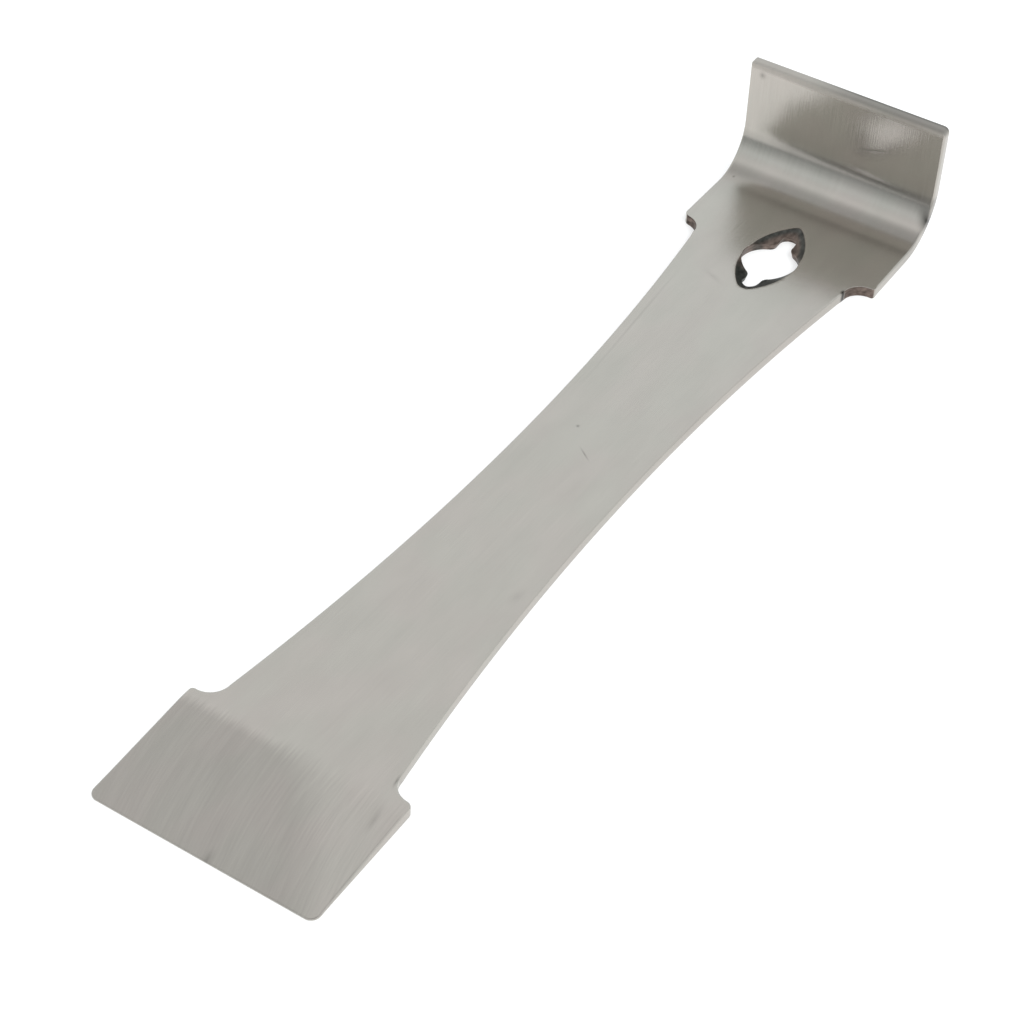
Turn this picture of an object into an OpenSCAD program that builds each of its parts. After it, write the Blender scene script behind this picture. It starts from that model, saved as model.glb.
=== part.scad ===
// Flat pry bar, stamped, bent and ground from one plate of stainless steel.
// It lies on its underside: +X runs from the scraper blade to the hook, +Y is
// across the bar, +Z is up. The origin is at the centre of the bar's footprint.

/* [Plate] */
// Overall length, from the cutting edge to the back of the hook
bar_length = 244.5; // [240:0.5:260]
// Width across the blade and across the hook
bar_width = 50; // [48:0.5:52]
// Thickness of the plate
plate_thickness = 2.5; // [2.2:0.1:2.8]

/* [Blade] */
// Length of the blade, from the cutting edge to the shoulders
blade_length = 30; // [26:0.5:34]
// Length of the ground slope on top of the blade
grind_length = 27; // [15:0.5:29]
// Thickness left at the cutting edge
edge_thickness = 0.4; // [0.3:0.1:1]
// Rounding of the two corners at the cutting edge
blade_corner_radius = 2; // [0.5:0.1:4]

/* [Shank] */
// Width at the waist, the narrowest place
waist_width = 27.9; // [27:0.1:30]
// Distance from the cutting edge to the waist
waist_x = 121; // [118:0.5:125]
// Radius of the long concave sides
side_radius = 690; // [650:10:800]
// Radius of the concave corners at the shoulders and behind the barbs
shoulder_radius = 4.4; // [3:0.1:5]
// Rounding of the convex corners beside them
barb_corner_radius = 1; // [0.3:0.1:1.1]
// Distance from the cutting edge to the barbs
barb_x = 214.2; // [208:0.1:218]

/* [Nail slot] */
// Distance from the cutting edge to the middle of the nail slot
slot_x = 210.7; // [206:0.1:212]
// Diameter of the round hole that lets a nail head through
head_hole_d = 13.1; // [13.1:0.1:14]
// Overall length of the slot that grips the nail's shank
slot_length = 22.8; // [18:0.1:24]
// Width of that slot
slot_width = 3.6; // [3:0.1:5]
// Rounding where the slot meets the round hole
slot_fillet = 2.1; // [1:0.1:3]

/* [Recess round the slot] */
// Depth of the recess below the top face
recess_depth = 0.9; // [0.4:0.1:1.2]
// Width of its sloping wall
recess_wall = 2.4; // [1.2:0.1:2.4]
// Distance from the middle of the slot to the pointed end
recess_tip = 15.4; // [14:0.1:17]
// Distance from the middle of the slot to the rounded end
recess_end = 13.3; // [12:0.1:14]
// Widest place of the recess
recess_width = 13; // [12:0.1:13]
// Radius of its rounded end
recess_end_radius = 2.5; // [2.5:0.1:4]

/* [Hook] */
// Overall height, from the underside of the bar to the tip of the hook
hook_height = 30.5; // [24:0.5:40]
// Inside radius of the bend
bend_radius = 10.5; // [8:0.5:12]
// Lean of the hook towards the blade, past a right angle
hook_lean = 2.3; // [0:0.1:4]
// Rounding of the two corners at the tip
hook_corner_radius = 1.6; // [0.5:0.1:3]
// Length of the bevel ground on the inner face of the tip
tip_bevel_length = 1.2; // [0.5:0.1:4]
// Thickness left at the tip
tip_thickness = 2.1; // [1:0.1:2.2]

/* [Hidden] */

$fn = 96;
over = 1; // how far the cutters run past the faces they cut
blend_overlap = 0.03; // how far one curve runs past another that it blends into

half_width = bar_width / 2;
outer_radius = bend_radius + plate_thickness;
bend_x = bar_length - outer_radius;
bend_z = outer_radius;
// The hook's straight part, as it stands before it leans: its two faces, at their
// distances from the bend's centre, and its length past the bend
hook_back = outer_radius - blend_overlap;
hook_face = bend_radius - blend_overlap;
hook_reach = (hook_height - bend_z - hook_back * sin(hook_lean)) / cos(hook_lean);

// Centre of the long arc that makes one side of the shank, and that side's
// distance from the centreline at distance x from the cutting edge
side_y = waist_width / 2 + side_radius;
function side_at(x) = side_y - sqrt(side_radius * side_radius - pow(x - waist_x, 2));

// Recess: the arcs of its pointed half and of its rounded half
recess_half = recess_width / 2;
tip_arc = (recess_tip * recess_tip + recess_half * recess_half) / recess_width;
end_x = recess_end - recess_end_radius;
end_arc = (end_x * end_x + recess_half * recess_half - recess_end_radius * recess_end_radius)
    / (recess_width - 2 * recess_end_radius);

// What is cut off a square corner to round it. The corner points to +X and +Y,
// and the rounding's centre is at the origin.
module corner_waste(r) {
    difference() {
        square(r + over);
        circle(r);
    }
}

// Both sides of the bar are alike
module both_sides() {
    children();
    mirror([0, 1]) children();
}

// Waste between the blade and one barb: the long arc of the shank, ended at each
// shoulder by a small arc that undercuts it by a hair
module side_waste() {
    blade_arc_x = blade_length + shoulder_radius;
    barb_arc_x = barb_x - shoulder_radius;
    blade_arc_y = side_at(blade_arc_x) + shoulder_radius - blend_overlap;
    barb_arc_y = side_at(barb_arc_x) + shoulder_radius - blend_overlap;
    intersection() {
        translate([waist_x, side_y]) circle(side_radius, $fn = 1440);
        translate([blade_arc_x, 0]) square([barb_arc_x - blade_arc_x, bar_width]);
    }
    translate([blade_arc_x, blade_arc_y]) circle(shoulder_radius);
    translate([barb_arc_x, barb_arc_y]) circle(shoulder_radius);
    translate([blade_length, blade_arc_y]) square([2 * shoulder_radius, shoulder_radius]);
    translate([barb_x - 2 * shoulder_radius, barb_arc_y])
        square([2 * shoulder_radius, shoulder_radius]);
}

// Rounding of one corner of the outline, at distance x along the bar
module outline_corner(x, r, forward) {
    translate([x + (forward ? -r : r), half_width - r])
        mirror([forward ? 0 : 1, 0]) corner_waste(r);
}

// Outline of the bar seen from above
module outline() {
    difference() {
        translate([0, -half_width]) square([bar_length, bar_width]);
        both_sides() {
            side_waste();
            outline_corner(0, blade_corner_radius, false);
            outline_corner(blade_length, barb_corner_radius, true);
            outline_corner(barb_x, barb_corner_radius, false);
        }
    }
}

// The bend, seen from the side, round its own centre. It ends inside the hook.
module bend() {
    clear = outer_radius + over;
    end_angle = hook_lean + 6;
    intersection() {
        difference() {
            circle(outer_radius);
            circle(bend_radius);
        }
        polygon([
            [0, 0],
            [0, -clear],
            [clear, -clear],
            [clear, clear * tan(end_angle)],
            [hook_face, bend_radius * sin(hook_lean)]
        ]);
    }
}

// The hook's straight part, seen from the side. It starts inside the bend.
module hook() {
    rotate(hook_lean) polygon([
        [hook_face, -bend_radius / 8],
        [hook_back, 0],
        [hook_back, hook_reach],
        [hook_back - tip_thickness, hook_reach],
        [hook_face, hook_reach - tip_bevel_length]
    ]);
}

// Side view of the bar: ground blade, flat plate, bend and hook
module side_view() {
    polygon([
        [0, 0],
        [bend_x, 0],
        [bend_x, plate_thickness],
        [grind_length, plate_thickness],
        [0, edge_thickness]
    ]);
    translate([bend_x, bend_z]) {
        bend();
        hook();
    }
}

// The two rounded corners at the tip of the hook, seen along the bar
module hook_corner_waste() {
    for (side = [0, 1])
        mirror([0, side, 0])
            translate([bend_x, half_width - hook_corner_radius, hook_height - hook_corner_radius])
                rotate([90, 0, 90])
                    linear_extrude(bar_length - bend_x + over) corner_waste(hook_corner_radius);
}

// Nail slot: a round hole with a slot through it, blended by four fillets
module nail_slot_outline() {
    head_r = head_hole_d / 2;
    half_slot = slot_width / 2;
    fillet_y = half_slot + slot_fillet;
    fillet_x = sqrt(pow(head_r + slot_fillet, 2) - fillet_y * fillet_y);
    touch = head_r / (head_r + slot_fillet);
    circle(head_r);
    for (end = [0, 1]) mirror([end, 0]) {
        translate([slot_length / 2 - half_slot, 0]) circle(half_slot);
        translate([0, -half_slot]) square([slot_length / 2 - half_slot, slot_width]);
        both_sides() difference() {
            polygon([
                [0, 0],
                [fillet_x * touch, fillet_y * touch],
                [fillet_x, fillet_y],
                [fillet_x, 0]
            ]);
            translate([fillet_x, fillet_y]) circle(slot_fillet);
        }
    }
}

// Cone whose wall has the recess's slope and whose radius is r at the top face
module recess_cone(r) {
    flare = recess_wall / recess_depth * over;
    translate([0, 0, plate_thickness - recess_depth])
        cylinder(h = recess_depth + over, r1 = r - recess_wall, r2 = r + flare);
}

// Two such cones side by side make an eye shape with sloping walls
module recess_eye(r) {
    intersection() {
        translate([0, recess_half - r, 0]) recess_cone(r);
        translate([0, r - recess_half, 0]) recess_cone(r);
    }
}

// Recess round the slot: pointed towards the hook, rounded towards the blade.
// The two halves meet inside the round hole.
module recess() {
    reach = end_arc - recess_half;
    intersection() {
        recess_eye(tip_arc);
        translate([0, -half_width, 0]) cube([half_width, bar_width, bend_z]);
    }
    difference() {
        recess_eye(end_arc);
        translate([0, -half_width, 0]) cube([half_width, bar_width, bend_z]);
        translate([-end_x, 0, 0]) linear_extrude(bend_z)
            polygon([[0, 0], [-end_x, reach], [-end_x, -reach]]);
    }
    translate([-end_x, 0, 0]) recess_cone(recess_end_radius + blend_overlap);
}

module pry_bar() {
    color([0.68, 0.68, 0.66]) translate([-bar_length / 2, 0, 0]) difference() {
        intersection() {
            rotate([90, 0, 0])
                translate([0, 0, -half_width]) linear_extrude(bar_width) side_view();
            linear_extrude(hook_height) outline();
        }
        hook_corner_waste();
        translate([slot_x, 0, 0]) {
            translate([0, 0, -over])
                linear_extrude(plate_thickness + 2 * over) nail_slot_outline();
            recess();
        }
    }
}

pry_bar();
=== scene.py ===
import math

import bmesh
import bpy
import numpy as np
from mathutils import Matrix, Vector
from mathutils.geometry import delaunay_2d_cdt
from mathutils.kdtree import KDTree


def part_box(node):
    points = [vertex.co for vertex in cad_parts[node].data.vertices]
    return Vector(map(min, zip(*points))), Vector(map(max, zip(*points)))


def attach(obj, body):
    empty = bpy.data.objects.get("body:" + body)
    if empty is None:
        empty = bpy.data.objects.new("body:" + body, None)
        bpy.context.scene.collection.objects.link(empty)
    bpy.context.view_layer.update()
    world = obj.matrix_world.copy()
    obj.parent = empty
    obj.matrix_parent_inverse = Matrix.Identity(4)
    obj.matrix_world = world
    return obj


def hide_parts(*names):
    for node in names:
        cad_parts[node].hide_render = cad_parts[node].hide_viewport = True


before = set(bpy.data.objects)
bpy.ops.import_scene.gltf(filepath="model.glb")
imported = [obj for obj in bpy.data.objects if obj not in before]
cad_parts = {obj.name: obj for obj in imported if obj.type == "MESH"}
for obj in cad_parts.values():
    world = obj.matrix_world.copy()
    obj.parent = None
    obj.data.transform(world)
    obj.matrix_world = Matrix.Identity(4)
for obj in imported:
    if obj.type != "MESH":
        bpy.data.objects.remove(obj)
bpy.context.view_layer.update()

# The bar is one plate, so its shape is worked out on the flat pattern, the plate
# before it was bent: u runs along the bar from the cutting edge, v across it and w up
# through the plate from the underside. Sizes are in millimetres.
MM = 0.001
low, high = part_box("pry_bar")
LENGTH, WIDTH, HEIGHT = (high - low) / MM
THICKNESS = 2.5
HALF_WIDTH = WIDTH / 2

# Blade
BLADE_LENGTH = 30.0
GRIND_LENGTH = 27.0
GRIND_BLEND = 0.10
EDGE_THICKNESS = 0.4

# Shank
WAIST_WIDTH = 27.9
WAIST_U = 121.0
SIDE_RADIUS = 690.0
SIDE_CENTRE = WAIST_WIDTH / 2 + SIDE_RADIUS
SHOULDER_RADIUS = 4.4
BARB_U = 214.2

# Corners of the outline, in order from the cutting edge to the hook. The two sides
# differ a little.
LEFT_CORNERS = {"front": 2.0, "rear": 0.9, "barb": 2.2, "tip": 0.6}
RIGHT_CORNERS = {"front": 2.0, "rear": 1.4, "barb": 0.7, "tip": 1.4}

# Nail slot and the recess round it
SLOT_U = 210.7
HEAD_RADIUS = 6.55
SLOT_HALF_LENGTH = 11.4
SLOT_HALF_WIDTH = 1.8
SLOT_FILLET = 2.1
RECESS_DEPTH = 0.9
RECESS_WALL = 2.4
RECESS_HALF = 6.5
RECESS_TIP = 15.4
RECESS_TIP_ROUND = 0.6
RECESS_END = 13.3
RECESS_END_RADIUS = 2.5
TIP_ARC = (RECESS_TIP ** 2 + RECESS_HALF ** 2) / (2 * RECESS_HALF)
END_U = RECESS_END - RECESS_END_RADIUS
END_ARC = (END_U ** 2 + RECESS_HALF ** 2 - RECESS_END_RADIUS ** 2) / (2 * (RECESS_HALF - RECESS_END_RADIUS))

# Bend and hook. The bend eases in and out of its radius, as pressed plate does.
BEND_LENGTH = 18.8
BEND_EASE = 2.0
BEND_SAMPLES = 600
HOOK_LEAN = math.radians(2.3)

# Marks on the top face: (u, v, half length, half width, turn in degrees, darkness)
MARKS = [
    (262.6, 21.8, 1.7, 1.5, 0, 0.4),
    (134.8, 5.2, 0.8, 0.7, 0, 0.5),
    (128.0, -0.6, 3.4, 0.4, 54, 0.4),
    (197.2, 7.5, 5.5, 1.4, 65, 0.10),
    (84.5, -11.8, 4.0, 2.2, 0, 0.10),
    (173.0, 13.6, 36.0, 0.6, 4, 0.12),
    (241.3, -25.0, 5.5, 3.0, 35, 0.9),
    (234.2, 22.5, 0.6, 0.5, 0, 0.5),
    (0.5, -1.6, 3.6, 1.6, 12, 0.24),
    (23.0, -21.2, 5.5, 1.1, 6, 0.2),
    (32.7, -19.4, 2.6, 0.5, 10, 0.45),
    (19.0, 8.5, 11.0, 5.5, 8, 0.07),
    (209.3, -19.5, 1.6, 0.9, 15, 1.6),
    (253.6, -8.5, 6.5, 0.7, -73, 0.3),
]
DARKEST_MARK = 0.9
MARK_DEPTH = 1.5

# Half the width of the floor, in metres
FLOOR_SIZE = 4.0


def running_sum(values, at):
    """The integral of values from the first place up to each place."""
    steps = (values[1:] + values[:-1]) / 2 * np.diff(at)
    return np.concatenate([[0], np.cumsum(steps)])


# The top face's line through the bend, from where it leaves the flat: distance along
# it, slope, and place
bend_s = np.linspace(0, BEND_LENGTH, BEND_SAMPLES)
curving = np.interp(bend_s, [0, BEND_EASE, BEND_LENGTH - BEND_EASE, BEND_LENGTH], [0, 1, 1, 0])
bend_slope = running_sum(curving, bend_s)
bend_slope *= (math.pi / 2 + HOOK_LEAN) / bend_slope[-1]
bend_x = running_sum(np.cos(bend_slope), bend_s)
bend_z = running_sum(np.sin(bend_slope), bend_s)
BEND_U = LENGTH - THICKNESS - bend_x.max()
BEND_END = BEND_U + BEND_LENGTH
HOOK_RISE = HEIGHT - THICKNESS * (1 + math.sin(HOOK_LEAN)) - bend_z[-1]
FLAT_LENGTH = BEND_END + HOOK_RISE / math.cos(HOOK_LEAN)
# How far down the hook's inner face its tip is ground over, and how deep
TIP_REACH = 1.1
TIP_DEPTH = 0.2

# Broken edges, sharper in the punched places, which reach a margin past the slot and
# the notches and fade out beyond it. No edge takes more than a share of the thickness.
EDGE_ROUND = 0.35
PUNCHED_ROUND = 0.12
PUNCHED_MARGIN = 1.0
PUNCHED_FADE = 1.0
ROUND_SHARE = 0.4
EDGE_SUPPORT = 0.2
# The punch broke the slot out a little wider at the underside. Both faces share one
# plan, so rings of points, at these shares of the flare, fill the strip this leaves on top.
SLOT_FLARE = 0.4
FLARE_RINGS = (1, 0.67, 0.33, 0)
# How far a notch's dark wall runs on past the barb, and how far inside the bar's full
# width it stops
NOTCH_OVERRUN = 0.3
NOTCH_INSET = 0.1
# A point nearer to the top face or the underside than this counts as on it
ON_FACE = PUNCHED_ROUND / 10
# Half the width of the crease along the recess's rim and its floor
CREASE = 0.12
# Points nearer than this are one point, and how finely the face is triangulated
SAME_POINT = 1e-6
FACE_TOLERANCE = 1e-5
EDGE_STEP = 0.6
ARC_STEP = 0.3
# The steel's finish. Layers of lines or patches: (length, width, seed), with the noise's
# detail where it isn't the usual one
BRUSHED_LINES = (14.0, 0.22, 3.0)
BRUSHED_BANDS = (16.0, 6.0, 11.0)
GROUND_LINES = (9.0, 0.5, 23.0)
GROUND_BANDS = (22.0, 2.6, 31.0)
TONE_PATCHES = (18.0, 12.0, 57.0, 1.0)
BAND_DEPTH = 0.13
STEEL_TONES = ((0.459, 0.429, 0.394, 1), (0.451, 0.431, 0.392, 1))
# Fades below are (start, end), or (start, end, value at start, value at end), along u,
# v or w. The first one keeps the blade's grinding and the marks off the underside.
UNDERSIDE_FADE = (0.1, 0.3)
# How strong the brush lines are, along the bar
BRUSHED_DEPTH = (230.0, 245.0, 0.09, 0.22)
# The blade's grinding. Its lines run as v = u * (GROUND_SWING - GROUND_SWING_LOSS * u).
# Its dark part ends at a ragged back edge, straight on the left and curved from
# GROUND_TURN rightwards, where it also softens.
GROUND_SWING = 0.32
GROUND_SWING_LOSS = 0.0055
GROUND_END = (31.0, 27.0)
GROUND_DEPTH = 0.2
GROUND_DARKNESS = 0.17
GROUND_TURN = 2.0
GROUND_CURVE = 0.045
GROUND_RAGGED = 2.5
GROUND_SOFTNESS = (6.0, -14.0, 1.6, 9.0)
# Bands across the top face darkened with painted shade, which stands in for darker reflections: (where it
# starts, where it is full), (where it ends, where it is still full) and its darkness. The bend's painted
# shade is darker than the head's, and darkest where it runs into the hook, except on the left.
HEAD_PAINTED_SHADE = ((222.0, 232.0), (238.0, 234.0), 0.09)
BEND_PAINTED_SHADE = ((238.5, 241.0), (247.2, 245.5), 0.13)
BEND_END_PAINTED_SHADE = ((243.5, 245.0), (247.4, 245.8), 0.24)
BEND_END_SIDE = (21.0, 11.0)
# The hook gets a painted sheen that makes it lighter, and it is smoother
HOOK_PAINTED_SHEEN = (246.0, 250.0, 1.0, 1.03)
SATIN_ROUGHNESS = (245.0, 249.0, 0.19, 0.15)
LINE_ROUGHNESS = 0.08
# The hook's end face, which is darkened with painted shade: back from the tip, from its left to its right
# and from its inner edge to its back edge; and the rougher strip behind it
END_FACE = (FLAT_LENGTH - 1.2, FLAT_LENGTH - 0.2)
END_FACE_SIDE = (12.0, -4.0)
END_FACE_PAINTED_SHADE = (1.1, 0.3, 0.36, 0.62)
TIP_STRIP = (FLAT_LENGTH - 2.2, FLAT_LENGTH - 0.8)
TIP_ROUGHNESS = 0.5
# Scale on the unpolished steel: patches of (length, width) that change down the walls
SCALE_PATCHES = (2.2, 1.4)
SCALE_SEED = 41.0
SCALE_CHANGE = 1.4
SCALE_CONTRAST = 2.2
SCALE_LEVEL = -0.2
LEFT_NOTCH = (14.0, 18.0, 0.0, 0.13)
RAW_ROUGHNESS = 0.45
# (start, end, spacing along, spacing across) of each zone of the mesh
ZONES = [
    (0.0, 33.0, 0.8, 0.8),
    (33.0, 194.0, 1.2, 1.2),
    (194.0, 230.0, 0.6, 0.6),
    (230.0, 258.0, 0.6, 0.8),
    (258.0, FLAT_LENGTH, 0.4, 0.8),
]


def arc(u, v, radius, start, end):
    """Points on an arc round (u, v), from one angle in degrees to another."""
    swept = math.radians(end - start)
    count = max(4, math.ceil(abs(swept) * radius / ARC_STEP))
    angles = math.radians(start) + swept * np.arange(count + 1) / count
    return [(u + radius * math.cos(a), v + radius * math.sin(a)) for a in angles]


def side_at(u):
    """Distance of the shank's side from the centreline."""
    return SIDE_CENTRE - math.sqrt(SIDE_RADIUS ** 2 - (u - WAIST_U) ** 2)


def corner_after(centre_u, radius):
    """Where a corner's arc runs on from a shoulder's arc: along the bar, and the angle."""
    drop = HALF_WIDTH - radius - side_at(centre_u) - SHOULDER_RADIUS
    reach = math.sqrt((SHOULDER_RADIUS + radius) ** 2 - drop ** 2)
    return reach, math.degrees(math.atan2(drop, reach))


def side_path(sign, front, rear, barb, tip):
    """One side of the outline, from the cutting edge to the hook's tip."""
    shoulder_u = BLADE_LENGTH + SHOULDER_RADIUS
    notch_u = BARB_U - SHOULDER_RADIUS
    rear_reach, rear_angle = corner_after(shoulder_u, rear)
    barb_reach, barb_angle = corner_after(notch_u, barb)
    path = arc(front, HALF_WIDTH - front, front, 180, 90)
    path += arc(shoulder_u - rear_reach, HALF_WIDTH - rear, rear, 90, -rear_angle)
    path += arc(shoulder_u, side_at(shoulder_u) + SHOULDER_RADIUS, SHOULDER_RADIUS, 180 - rear_angle, 270)
    path += [(u, side_at(u)) for u in np.arange(shoulder_u + EDGE_STEP, notch_u - EDGE_STEP / 2, EDGE_STEP)]
    path += arc(notch_u, side_at(notch_u) + SHOULDER_RADIUS, SHOULDER_RADIUS, 270, 360 + barb_angle)
    path += arc(notch_u + barb_reach, HALF_WIDTH - barb, barb, 180 + barb_angle, 90)
    path += arc(FLAT_LENGTH - tip, HALF_WIDTH - tip, tip, 90, 0)
    return [(u, sign * v) for u, v in path]


def filled(loop):
    """A closed loop as an array, with points added along its long straight stretches."""
    points = []
    for (u, v), (next_u, next_v) in zip(loop, loop[1:] + loop[:1]):
        distance = math.hypot(next_u - u, next_v - v)
        if distance < SAME_POINT:
            continue
        count = max(1, round(distance / EDGE_STEP))
        for k in range(count):
            points.append((u + (next_u - u) * k / count, v + (next_v - v) * k / count))
    return np.array(points)


def outline_loop():
    """The outline of the flat pattern, anticlockwise."""
    right = side_path(-1, **RIGHT_CORNERS)
    left = side_path(1, **LEFT_CORNERS)
    return filled(right + left[::-1])


def slot_loop():
    """The edge of the nail slot, clockwise, so that the steel is on its left too."""
    fillet_v = SLOT_HALF_WIDTH + SLOT_FILLET
    fillet_u = math.sqrt((HEAD_RADIUS + SLOT_FILLET) ** 2 - fillet_v ** 2)
    touch = math.degrees(math.atan2(fillet_v, fillet_u))
    quarter = arc(SLOT_HALF_LENGTH - SLOT_HALF_WIDTH, 0, SLOT_HALF_WIDTH, 0, 90)
    quarter += arc(fillet_u, fillet_v, SLOT_FILLET, 270, 180 + touch)
    quarter += arc(0, 0, HEAD_RADIUS, touch, 90)
    half = quarter + [(-u, v) for u, v in quarter[-2::-1]]
    loop = half + [(u, -v) for u, v in half[-2:0:-1]]
    return filled([(SLOT_U + u, v) for u, v in loop[::-1]])


def inward(loop):
    """Unit vectors from each point of a loop into the steel."""
    along = np.roll(loop, -1, axis=0) - np.roll(loop, 1, axis=0)
    normal = np.stack([-along[:, 1], along[:, 0]], axis=1)
    return normal / np.linalg.norm(normal, axis=1, keepdims=True)


def recess_inset(u, v):
    """How far a point lies inside the recess's rim; negative outside it."""
    x = u - SLOT_U
    y = np.abs(v)
    tip = TIP_ARC - np.hypot(x, np.hypot(y, RECESS_TIP_ROUND) + TIP_ARC - RECESS_HALF)
    side = END_ARC - np.hypot(x, y + END_ARC - RECESS_HALF)
    end = RECESS_END_RADIUS - np.hypot(x + END_U, y)
    past_side = (-x - END_U) * (END_ARC - RECESS_HALF) > END_U * y
    return np.where(x > 0, tip, np.where(past_side, end, side))


def recess_contour(inset):
    """The line a given distance inside the recess's rim."""
    tip_centre = TIP_ARC - RECESS_HALF
    end_centre = END_ARC - RECESS_HALF
    tip_angle = math.degrees(math.asin((tip_centre + RECESS_TIP_ROUND) / (TIP_ARC - inset)))
    join_angle = math.degrees(math.atan2(end_centre, -END_U))
    upper = arc(0, -tip_centre, TIP_ARC - inset, tip_angle, 90)
    upper = [(u, math.sqrt(max(v ** 2 - RECESS_TIP_ROUND ** 2, 0))) for u, v in upper]
    upper += arc(0, -end_centre, END_ARC - inset, 90, join_angle)
    upper += arc(-END_U, 0, RECESS_END_RADIUS - inset, join_angle, 180)
    loop = upper + [(u, -v) for u, v in upper[-2:0:-1]]
    return filled([(SLOT_U + u, v) for u, v in loop])


def top_height(u, v):
    """Height of the top face over the underside."""
    ground = EDGE_THICKNESS + (THICKNESS - EDGE_THICKNESS) * u / GRIND_LENGTH
    gap = np.maximum(GRIND_BLEND - np.abs(ground - THICKNESS), 0)
    face = np.minimum(ground, THICKNESS) - gap ** 2 / (4 * GRIND_BLEND)
    sunk = RECESS_DEPTH * np.clip(recess_inset(u, v) / RECESS_WALL, 0, 1)
    ground_over = TIP_DEPTH * np.clip((u - FLAT_LENGTH) / TIP_REACH + 1, 0, 1) ** 2
    return face - sunk - ground_over


def bent(pattern):
    """Where points of the flat pattern lie on the finished bar, in metres."""
    u, v, w = pattern.T
    slope = np.interp(u - BEND_U, bend_s, bend_slope)
    below = THICKNESS - w
    x = np.minimum(u, BEND_U) + np.interp(u - BEND_U, bend_s, bend_x) + below * np.sin(slope)
    z = THICKNESS + np.interp(u - BEND_U, bend_s, bend_z) - below * np.cos(slope)
    past = np.maximum(u - BEND_END, 0)
    x -= past * math.sin(HOOK_LEAN)
    z += past * math.cos(HOOK_LEAN)
    return np.stack([x - LENGTH / 2, v, z], axis=1) * MM


def inside(points, loop):
    """Which points lie inside a closed loop."""
    result = np.zeros(len(points), bool)
    u, v = points.T
    for (u1, v1), (u2, v2) in zip(loop, np.roll(loop, -1, axis=0)):
        if v1 == v2:
            continue
        crosses = (v1 > v) != (v2 > v)
        result ^= crosses & (u < (u2 - u1) * (v - v1) / (v2 - v1) + u1)
    return result


def grid_points():
    """The regular points of every zone."""
    points = []
    for start, end, along, across in ZONES:
        rows = round((end - start) / along)
        half_columns = math.ceil(HALF_WIDTH / across)
        for row in range(rows):
            u = start + (row + 0.5) * (end - start) / rows
            points += [(u, column * across) for column in range(-half_columns, half_columns + 1)]
    return np.array(points)


def tree_of(points):
    """A search tree over points of the flat pattern."""
    tree = KDTree(len(points))
    for k, (u, v) in enumerate(points):
        tree.insert((u, v, 0), k)
    tree.balance()
    return tree


def ring_edges(first, count):
    """The edges of a closed ring of points, numbered from first."""
    return [(first + k, first + (k + 1) % count) for k in range(count)]


def add_contour(points, edges, contour, slot, slot_tree):
    """Adds the parts of a line round the recess that the slot leaves standing."""
    indices = []
    for (u, v), gone in zip(contour, inside(contour, slot)):
        if gone or slot_tree.find((u, v, 0))[2] < CREASE:
            indices.append(None)
        else:
            indices.append(len(points))
            points.append((u, v))
    for a, b in zip(indices, indices[1:] + indices[:1]):
        if a is not None and b is not None:
            edges.append((a, b))


def face_mesh(outer, slot):
    """Points and triangles of the face between the outline's and the slot's edges."""
    points = [tuple(p) for p in outer] + [tuple(p) for p in slot]
    edges = ring_edges(0, len(outer)) + ring_edges(len(outer), len(slot))
    slot_tree = tree_of(slot)
    for inset in (-CREASE, CREASE, RECESS_WALL - CREASE, RECESS_WALL + CREASE):
        add_contour(points, edges, recess_contour(inset), slot, slot_tree)
    fixed = tree_of(points)
    grid = grid_points()
    grid = grid[inside(grid, outer) & ~inside(grid, slot)]
    for u, v in grid:
        if fixed.find((u, v, 0))[2] > EDGE_STEP / 2:
            points.append((u, v))
    made = delaunay_2d_cdt([Vector(p) for p in points], edges, [], 0, FACE_TOLERANCE)
    flat = np.array([(p[0], p[1]) for p in made[0]])
    triangles = np.array([tuple(f) for f in made[2]])
    centres = flat[triangles].mean(axis=1)
    kept = inside(centres, outer) & ~inside(centres, slot)
    return flat, triangles[kept], [ids[0] if ids else -1 for ids in made[3]]


def rounding(loop):
    """How far the edge is rounded at each point of a loop."""
    u, v = loop.T
    from_slot = np.hypot(u - SLOT_U, v) - SLOT_HALF_LENGTH - PUNCHED_MARGIN
    from_notch = np.abs(u - BARB_U + SHOULDER_RADIUS / 2) - SHOULDER_RADIUS / 2 - PUNCHED_MARGIN
    blunt = np.clip(np.minimum(from_slot, from_notch) / PUNCHED_FADE, 0, 1)
    radius = PUNCHED_ROUND + (EDGE_ROUND - PUNCHED_ROUND) * blunt
    return np.minimum(radius, ROUND_SHARE * top_height(u, v))


def edge_rows(loop, flare=0.0):
    """The rows of points over one edge: top face, rounding, wall, rounding, underside.
    Both faces share one plan, so where the wall flares the top face has more rings."""
    normal = inward(loop)
    radius = rounding(loop)
    height = top_height(*(loop + normal * radius[:, None]).T)
    rows = []
    for share in (FLARE_RINGS if flare else (0,)):
        support = radius + EDGE_SUPPORT + flare * share
        rows.append((support, top_height(*(loop + normal * support[:, None]).T)))
    for angle in (0, 30, 60, 90):
        turn = math.radians(angle)
        rows.append((radius * (1 - math.sin(turn)), height - radius * (1 - math.cos(turn))))
    for share in (1 / 3, 2 / 3):
        rows.append((0 * radius + flare * share, (height - radius) * (1 - share) + radius * share))
    for angle in (90, 60, 30, 0):
        turn = math.radians(angle)
        rows.append((flare + radius * (1 - math.sin(turn)), radius * (1 - math.cos(turn))))
    rows.append((radius + EDGE_SUPPORT + flare, 0 * radius))
    result = []
    for inset, level in rows:
        moved = loop + normal * inset[:, None]
        result.append(np.column_stack([moved, level]))
    return result


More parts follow.
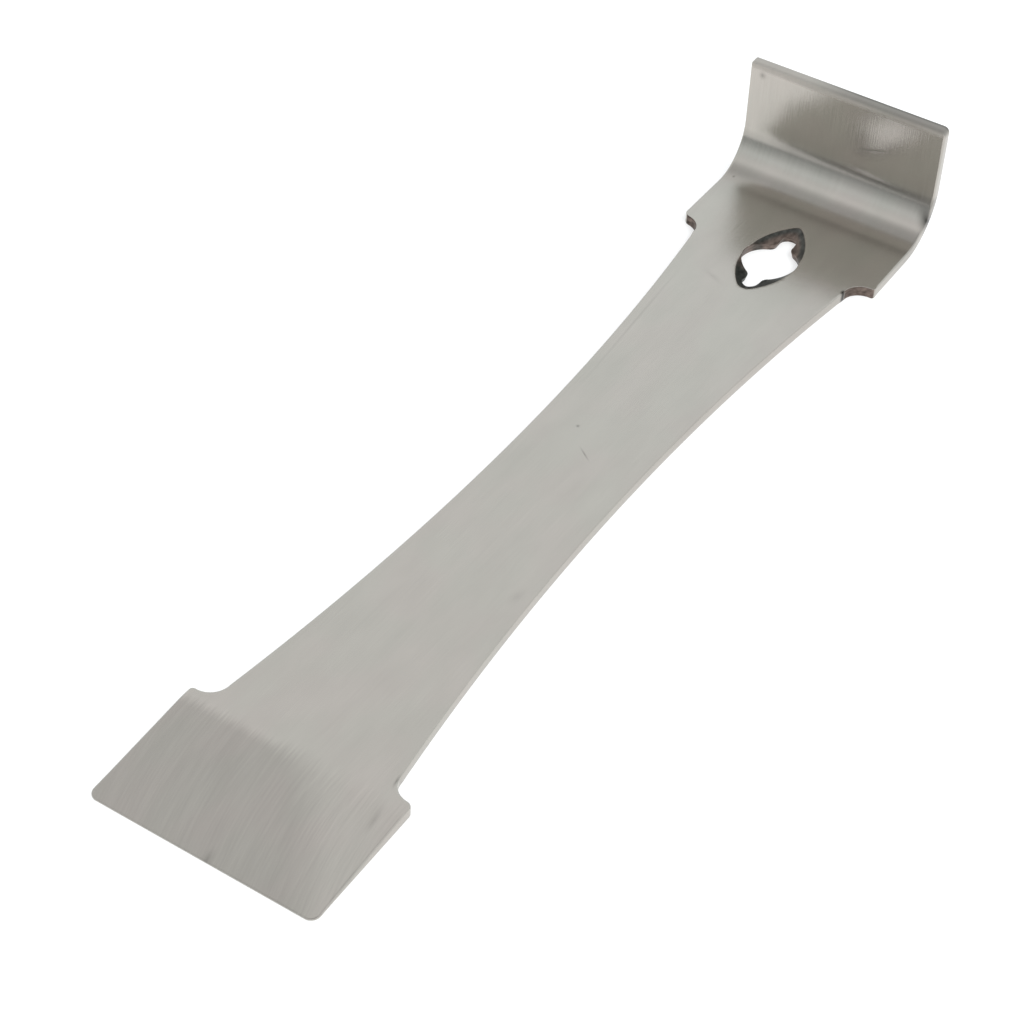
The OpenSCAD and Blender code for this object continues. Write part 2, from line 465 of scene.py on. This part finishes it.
def unpolished(pattern):
    """How dark and rough the steel was left: 1 in the recess, the slot and the notches."""
    u, v, w = pattern.T
    lowered = w < top_height(u, v) - ON_FACE
    on_wall = lowered & (w > ON_FACE)
    near_slot = np.hypot(u - SLOT_U, v) < SLOT_HALF_LENGTH + PUNCHED_MARGIN
    past_start = u > BARB_U - SHOULDER_RADIUS
    before_end = u < BARB_U + NOTCH_OVERRUN
    in_notch = past_start & before_end & (np.abs(v) < HALF_WIDTH - NOTCH_INSET)
    recess = np.clip(recess_inset(u, v) / CREASE, 0, 1) * ~lowered
    return np.maximum(recess, on_wall & (near_slot | in_notch))


def keep_values(mesh, name, values):
    """Keeps one number for each point of a mesh, for the material."""
    attribute = mesh.attributes.new(name, "FLOAT", "POINT")
    attribute.data.foreach_set("value", values.astype(np.float32))


def wall_faces(above, below):
    """The quads between two rings of points, one above the other."""
    size = len(above)
    after = [(k + 1) % size for k in range(size)]
    return [(above[k], below[k], below[j], above[j]) for k, j in enumerate(after)]


def steel_pattern():
    """Every point of the bar on the flat pattern, and the faces between them."""
    outer_rows = edge_rows(outline_loop())
    slot_rows = edge_rows(slot_loop(), SLOT_FLARE)
    flat, triangles, origins = face_mesh(outer_rows[0][:, :2], slot_rows[0][:, :2])
    place = {origin: index for index, origin in enumerate(origins) if origin >= 0}
    count = len(flat)
    top = np.column_stack([flat, top_height(*flat.T)])
    pattern = [top, np.column_stack([flat, np.zeros(count)])]
    faces = [tuple(t) for t in triangles]
    faces += [(a + count, c + count, b + count) for a, b, c in triangles]
    total = 2 * count
    first = 0
    for rows in (outer_rows, slot_rows):
        size = len(rows[0])
        ring = [place[first + k] for k in range(size)]
        top[ring, 2] = rows[0][:, 2]
        above = ring
        for row in rows[1:-1]:
            below = list(range(total, total + size))
            pattern.append(row)
            faces += wall_faces(above, below)
            total += size
            above = below
        faces += wall_faces(above, [count + k for k in ring])
        first += size
    return np.vstack(pattern), faces


def steel_mesh():
    """The whole bar as one closed mesh, with the flat pattern kept as an attribute."""
    pattern, faces = steel_pattern()
    mesh = bpy.data.meshes.new("pry_bar_steel")
    mesh.from_pydata(bent(pattern).tolist(), [], faces)
    attribute = mesh.attributes.new("flat_pattern", "FLOAT_VECTOR", "POINT")
    attribute.data.foreach_set("vector", pattern.astype(np.float32).ravel())
    keep_values(mesh, "unpolished", unpolished(pattern))
    keep_values(mesh, "sunk", np.clip(recess_inset(*pattern[:, :2].T) / RECESS_WALL, 0, 1))
    mesh.shade_smooth()
    mesh.validate()
    return mesh


def tidy_faces(mesh):
    """Joins pairs of triangles into quads and drops loose points."""
    work = bmesh.new()
    work.from_mesh(mesh)
    triangles = [f for f in work.faces if len(f.verts) == 3]
    bmesh.ops.join_triangles(
        work, faces=triangles, angle_face_threshold=0.3, angle_shape_threshold=0.6
    )
    loose = [v for v in work.verts if not v.link_faces]
    bmesh.ops.delete(work, geom=loose, context="VERTS")
    open_edges = sum(1 for e in work.edges if len(e.link_faces) != 2)
    print("steel mesh:", len(work.verts), "points,", len(work.faces), "faces,", open_edges, "open edges")
    work.to_mesh(mesh)
    work.free()


def add(tree, kind, inputs=None, **settings):
    """A new node, with its settings, and its inputs set to values or linked to sockets."""
    made = tree.nodes.new(kind)
    for name, value in settings.items():
        setattr(made, name, value)
    for name, value in (inputs or {}).items():
        if isinstance(value, bpy.types.NodeSocket):
            tree.links.new(value, made.inputs[name])
        else:
            made.inputs[name].default_value = value
    return made


def calc(tree, operation, a, b=0.0, c=0.0):
    """A Math node's result."""
    return add(tree, "ShaderNodeMath", {0: a, 1: b, 2: c}, operation=operation).outputs[0]


def ramp(tree, value, start, end, low_value=0.0, high_value=1.0):
    """A smooth step from low_value at start to high_value at end."""
    inputs = {"Value": value, "From Min": start, "From Max": end, "To Min": low_value, "To Max": high_value}
    node = add(tree, "ShaderNodeMapRange", inputs, interpolation_type="SMOOTHSTEP")
    return node.outputs["Result"]


def mix(tree, share, a, b):
    """A number between a and b."""
    return add(tree, "ShaderNodeMix", {0: share, 2: a, 3: b}, data_type="FLOAT").outputs[0]


def scaled(tree, colour, shade):
    """A colour made lighter or darker."""
    return add(tree, "ShaderNodeVectorMath", {0: colour, "Scale": shade}, operation="SCALE").outputs[0]


def streaks(tree, along, across, length, width, seed, detail=3.0):
    """Noise drawn out along the bar, in streaks or patches of about that size."""
    where = add(
        tree,
        "ShaderNodeCombineXYZ",
        {"X": calc(tree, "DIVIDE", along, length), "Y": calc(tree, "DIVIDE", across, width), "Z": seed},
    )
    noise = add(tree, "ShaderNodeTexNoise", {"Vector": where.outputs[0], "Scale": 1.0, "Detail": detail})
    return noise.outputs["Fac"]


def marks(tree, plan):
    """How dark the dents, scratches and smudges make the top face."""
    total = 0.0
    for u, v, length, width, turn, darkness in MARKS:
        inputs = {
            "Vector": plan,
            "Location": (u, v, 0),
            "Rotation": (0, 0, math.radians(turn)),
            "Scale": (length, width, 1),
        }
        where = add(tree, "ShaderNodeMapping", inputs, vector_type="TEXTURE")
        spot = add(tree, "ShaderNodeTexGradient", {0: where.outputs[0]}, gradient_type="QUADRATIC_SPHERE")
        total = calc(tree, "MULTIPLY_ADD", spot.outputs["Fac"], darkness, total)
    return total


def blend(tree, share, a, b):
    """A colour between a and b."""
    return add(tree, "ShaderNodeMix", {0: share, 6: a, 7: b}, data_type="RGBA").outputs[2]


def recess_colour(tree, u, v):
    """The unpolished steel: brown, bluish in the recess's right half towards the blade,
    dark grey along the rim of its pointed end and darkest at its rounded end."""
    sunk = add(tree, "ShaderNodeAttribute", attribute_name="sunk").outputs["Fac"]
    brown = (0.185, 0.145, 0.125, 1)
    bluish = (0.25, 0.26, 0.26, 1)
    dark = (0.095, 0.095, 0.088, 1)
    darkest = (0.062, 0.066, 0.060, 1)
    in_recess = ramp(tree, sunk, 0.0, 0.08)
    right = calc(tree, "MULTIPLY", in_recess, ramp(tree, v, -1.5, -3.5))
    right = calc(tree, "MULTIPLY", right, ramp(tree, u, SLOT_U + 5, SLOT_U - 1))
    rim = calc(tree, "MULTIPLY", in_recess, ramp(tree, sunk, 0.75, 0.25))
    tip_rim = calc(tree, "MULTIPLY", rim, ramp(tree, u, SLOT_U + 1, SLOT_U + 6))
    blade_end = calc(tree, "MULTIPLY", in_recess, ramp(tree, u, SLOT_U - 3.5, SLOT_U - 7.5))
    colour = blend(tree, right, brown, bluish)
    colour = blend(tree, tip_rim, colour, dark)
    return blend(tree, blade_end, colour, darkest)


def centred(tree, noise, depth, base):
    """A value that noise moves up and down by as much as half of depth."""
    return calc(tree, "MULTIPLY_ADD", calc(tree, "SUBTRACT", noise, 0.5), depth, base)


def darkened(tree, shade, share, darkness):
    """A shade with a share of some darkness taken off it."""
    return calc(tree, "MULTIPLY", shade, calc(tree, "MULTIPLY_ADD", share, -darkness, 1.0))


def less(tree, shade, share):
    """A shade with a share of itself taken off."""
    return calc(tree, "MULTIPLY", shade, calc(tree, "SUBTRACT", 1.0, share))


def painted_shade_band(tree, shade, u, band, *limits):
    """Painted shade: a shade made darker in a band across the bar, as far as the limits let it."""
    rise, fall, darkness = band
    share = calc(tree, "MULTIPLY", ramp(tree, u, *rise), ramp(tree, u, *fall))
    for limit in limits:
        share = calc(tree, "MULTIPLY", share, limit)
    return darkened(tree, shade, share, darkness)


def ground_tone(tree, u, v, ground):
    """1 where the blade was ground. The back edge of that part is crisp on the left,
    and on the right it curves towards the cutting edge and fades out."""
    right_of_middle = calc(tree, "MAXIMUM", calc(tree, "SUBTRACT", GROUND_TURN, v), 0.0)
    squared = calc(tree, "POWER", right_of_middle, 2.0)
    back = calc(tree, "MULTIPLY_ADD", squared, -GROUND_CURVE, GRIND_LENGTH)
    softness = ramp(tree, v, *GROUND_SOFTNESS)
    ragged = centred(tree, ground, GROUND_RAGGED, u)
    before_edge = calc(tree, "DIVIDE", calc(tree, "SUBTRACT", back, ragged), softness)
    return ramp(tree, before_edge, -1.0, 1.0)


def steel_finish(tree, place):
    """The polished steel's fine lines, and its shade from them and from the grinding."""
    u, v, _, on_top = place
    swing = calc(tree, "MULTIPLY_ADD", u, -GROUND_SWING_LOSS, GROUND_SWING)
    swept = calc(tree, "SUBTRACT", v, calc(tree, "MULTIPLY", u, swing))
    ground = streaks(tree, u, swept, *GROUND_LINES)
    on_blade = calc(tree, "MULTIPLY", ramp(tree, u, *GROUND_END), on_top)
    lines = mix(tree, on_blade, streaks(tree, u, v, *BRUSHED_LINES), ground)
    ground_bands = streaks(tree, u, swept, *GROUND_BANDS)
    bands = mix(tree, on_blade, streaks(tree, u, v, *BRUSHED_BANDS), ground_bands)
    brushed_depth = ramp(tree, u, *BRUSHED_DEPTH)
    shade = centred(tree, lines, mix(tree, on_blade, brushed_depth, GROUND_DEPTH), 1.0)
    shade = centred(tree, bands, BAND_DEPTH, shade)
    tone = calc(tree, "MULTIPLY", ground_tone(tree, u, v, ground), on_top)
    return lines, darkened(tree, shade, tone, GROUND_DARKNESS)


def painted_light_and_shade(tree, place, shade):
    """The shade with the painted shade bands of the head and the bend, the hook's painted sheen and its end
    face's painted shade.
    """
    u, v, w, on_top = place
    shade = painted_shade_band(tree, shade, u, HEAD_PAINTED_SHADE, on_top)
    shade = painted_shade_band(tree, shade, u, BEND_PAINTED_SHADE, on_top)
    shade = painted_shade_band(tree, shade, u, BEND_END_PAINTED_SHADE, ramp(tree, v, *BEND_END_SIDE), on_top)
    # Painted sheen: the hook is made a little lighter
    shade = calc(tree, "MULTIPLY", shade, ramp(tree, u, *HOOK_PAINTED_SHEEN))
    # Painted shade: the hook's end face is darker on the right, and darkest along its back edge
    end_face = ramp(tree, u, *END_FACE)
    end_face = calc(tree, "MULTIPLY", end_face, ramp(tree, v, *END_FACE_SIDE))
    end_face = calc(tree, "MULTIPLY", end_face, ramp(tree, w, *END_FACE_PAINTED_SHADE))
    return less(tree, shade, end_face)


def polished_colour(tree, place, shade):
    """The polished steel's colour, which varies a little from patch to patch."""
    u, v, _, _ = place
    tone = ramp(tree, streaks(tree, u, v, *TONE_PATCHES), 0.35, 0.65)
    return scaled(tree, blend(tree, tone, *STEEL_TONES), shade)


def raw_colour(tree, place):
    """The unpolished steel's colour, mottled with scale and darkest in the left notch."""
    u, v, w, _ = place
    seed = calc(tree, "MULTIPLY_ADD", w, SCALE_CHANGE, SCALE_SEED)
    scale = streaks(tree, u, v, *SCALE_PATCHES, seed)
    scale = calc(tree, "SUBTRACT", scale, ramp(tree, v, *LEFT_NOTCH))
    shade = calc(tree, "MULTIPLY_ADD", scale, SCALE_CONTRAST, SCALE_LEVEL)
    return scaled(tree, recess_colour(tree, u, v), shade)


def steel_roughness(tree, u, lines, raw):
    """Satin all over, smoother on the hook and rougher at its tip and where unpolished."""
    satin = calc(tree, "MULTIPLY_ADD", lines, LINE_ROUGHNESS, ramp(tree, u, *SATIN_ROUGHNESS))
    at_tip = ramp(tree, u, *TIP_STRIP)
    return mix(tree, raw, mix(tree, at_tip, satin, TIP_ROUGHNESS), RAW_ROUGHNESS)


def steel_material():
    """Satin stainless steel: brushed along the bar, and ground on the blade in lines
    that swing round."""
    material = bpy.data.materials.new("stainless_steel_brushed")
    material.use_nodes = True
    tree = material.node_tree
    tree.nodes.clear()
    pattern = add(tree, "ShaderNodeAttribute", attribute_name="flat_pattern")
    u, v, w = add(tree, "ShaderNodeSeparateXYZ", {0: pattern.outputs["Vector"]}).outputs
    plan = add(tree, "ShaderNodeCombineXYZ", {"X": u, "Y": v}).outputs[0]
    # Where a point lies on the flat pattern, and 0 on the underside or 1 above it
    on_top = ramp(tree, w, *UNDERSIDE_FADE)
    place = (u, v, w, on_top)
    raw = add(tree, "ShaderNodeAttribute", attribute_name="unpolished").outputs["Fac"]
    lines, shade = steel_finish(tree, place)
    marked = calc(tree, "MINIMUM", marks(tree, plan), DARKEST_MARK)
    marked = calc(tree, "MULTIPLY", marked, on_top)
    # Painted shade on the head, the bend and the hook's end face, and a painted sheen on the hook, go into
    # the shade here
    shade = less(tree, painted_light_and_shade(tree, place, shade), marked)
    colour = blend(tree, raw, polished_colour(tree, place, shade), raw_colour(tree, place))
    relief = calc(tree, "SUBTRACT", lines, calc(tree, "MULTIPLY", marked, MARK_DEPTH))
    bump = add(tree, "ShaderNodeBump", {"Height": relief, "Strength": 0.10, "Distance": 0.0002})
    across = add(tree, "ShaderNodeCombineXYZ", {"Y": 1.0})
    inputs = {
        "Base Color": colour,
        "Metallic": 1.0,
        "Roughness": steel_roughness(tree, u, lines, raw),
        "Anisotropic": 0.65,
        "Tangent": across.outputs[0],
        "Normal": bump.outputs[0],
    }
    shader = add(tree, "ShaderNodeBsdfPrincipled", inputs)
    add(tree, "ShaderNodeOutputMaterial", {"Surface": shader.outputs[0]})
    return material


def floor_material():
    """A plain pale table top that glows round its middle, so that shadows stay faint."""
    material = bpy.data.materials.new("studio_floor")
    material.use_nodes = True
    tree = material.node_tree
    where = add(tree, "ShaderNodeTexCoord").outputs["Object"]
    distance = add(tree, "ShaderNodeVectorMath", {0: where}, operation="LENGTH").outputs["Value"]
    shader = tree.nodes["Principled BSDF"]
    shader.inputs["Base Color"].default_value = (0.5, 0.5, 0.5, 1)
    shader.inputs["Emission Color"].default_value = (1, 1, 1, 1)
    tree.links.new(ramp(tree, distance, 0.28, 0.6, 0.55, 0.05), shader.inputs["Emission Strength"])
    shader.inputs["Roughness"].default_value = 0.9
    shader.inputs["Specular IOR Level"].default_value = 0.1
    return material


def add_floor():
    """The table top that the bar lies on."""
    signs = ((-1, -1), (1, -1), (1, 1), (-1, 1))
    corners = [(x * FLOOR_SIZE, y * FLOOR_SIZE, 0) for x, y in signs]
    mesh = bpy.data.meshes.new("studio_floor")
    mesh.from_pydata(corners, [], [(0, 1, 2, 3)])
    mesh.materials.append(floor_material())
    floor = bpy.data.objects.new("studio_floor", mesh)
    bpy.context.scene.collection.objects.link(floor)


def add_camera():
    """The camera, off the blade's end and on the bar's right, a little rolled."""
    azimuth = math.radians(-59.59)
    elevation = math.radians(42.76)
    roll = math.radians(3.44)
    aim = Vector((-16.0, 3.2, 0.5)) * MM
    distance = 484.3 * MM
    back = Vector((
        math.sin(azimuth) * math.cos(elevation),
        -math.cos(azimuth) * math.cos(elevation),
        math.sin(elevation),
    ))
    level = (-back).cross(Vector((0, 0, 1))).normalized()
    upright = level.cross(-back)
    right = level * math.cos(roll) + upright * math.sin(roll)
    up = right.cross(-back)
    camera = bpy.data.objects.new("camera", bpy.data.cameras.new("camera"))
    camera.data.lens = 83.92
    camera.data.sensor_width = 36.0
    camera.data.clip_start = 0.01
    place = aim + back * distance
    camera.matrix_world = Matrix.Translation(place) @ Matrix((right, up, back)).transposed().to_4x4()
    bpy.context.scene.collection.objects.link(camera)
    bpy.context.scene.camera = camera


def add_area(name, place, target, size, power, colour):
    """A square soft light that faces its target."""
    lamp = bpy.data.lights.new(name, "AREA")
    lamp.shape = "SQUARE"
    lamp.size = size
    lamp.energy = power
    lamp.color = colour
    light = bpy.data.objects.new(name, lamp)
    light.location = place
    light.rotation_euler = (Vector(target) - Vector(place)).to_track_quat("-Z", "Y").to_euler()
    light.visible_glossy = False
    bpy.context.scene.collection.objects.link(light)


def add_studio():
    """A pale room, dimmer low down, overhead and past the blade's end, and one large
    lamp on the bar's right."""
    scene = bpy.context.scene
    scene.view_settings.view_transform = "Standard"
    world = bpy.data.worlds.new("studio")
    world.use_nodes = True
    tree = world.node_tree
    direction = add(tree, "ShaderNodeTexCoord").outputs["Generated"]
    along, _, up = add(tree, "ShaderNodeSeparateXYZ", {0: direction}).outputs
    from_floor = ramp(tree, up, 0.0, 0.5, 0.66, 1.0)
    to_ceiling = ramp(tree, up, 0.87, 0.96, 1.0, 0.5)
    blade_side = ramp(tree, along, -0.95, -0.72, 0.72, 1.0)
    warmth = ramp(tree, up, 0.58, 0.78)
    cool = (1.09, 1.15, 1.17, 1)
    warm = (1.02, 1.035, 1.05, 1)
    colour = blend(tree, warmth, cool, warm)
    backdrop = tree.nodes["Background"]
    tree.links.new(colour, backdrop.inputs["Color"])
    strength = calc(tree, "MULTIPLY", calc(tree, "MULTIPLY", from_floor, to_ceiling), blade_side)
    tree.links.new(strength, backdrop.inputs["Strength"])
    scene.world = world
    add_area(
        "key_light",
        place=(-0.1, -0.9, 1.1),
        target=(0, 0, 0),
        size=1.0,
        power=11.0,
        colour=(1.0, 1.0, 1.0),
    )


add_camera()
add_studio()
add_floor()
steel = bpy.data.objects.new("pry_bar_steel", steel_mesh())
tidy_faces(steel.data)
steel.data.materials.append(steel_material())
bpy.context.scene.collection.objects.link(steel)
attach(steel, "root")
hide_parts("pry_bar")
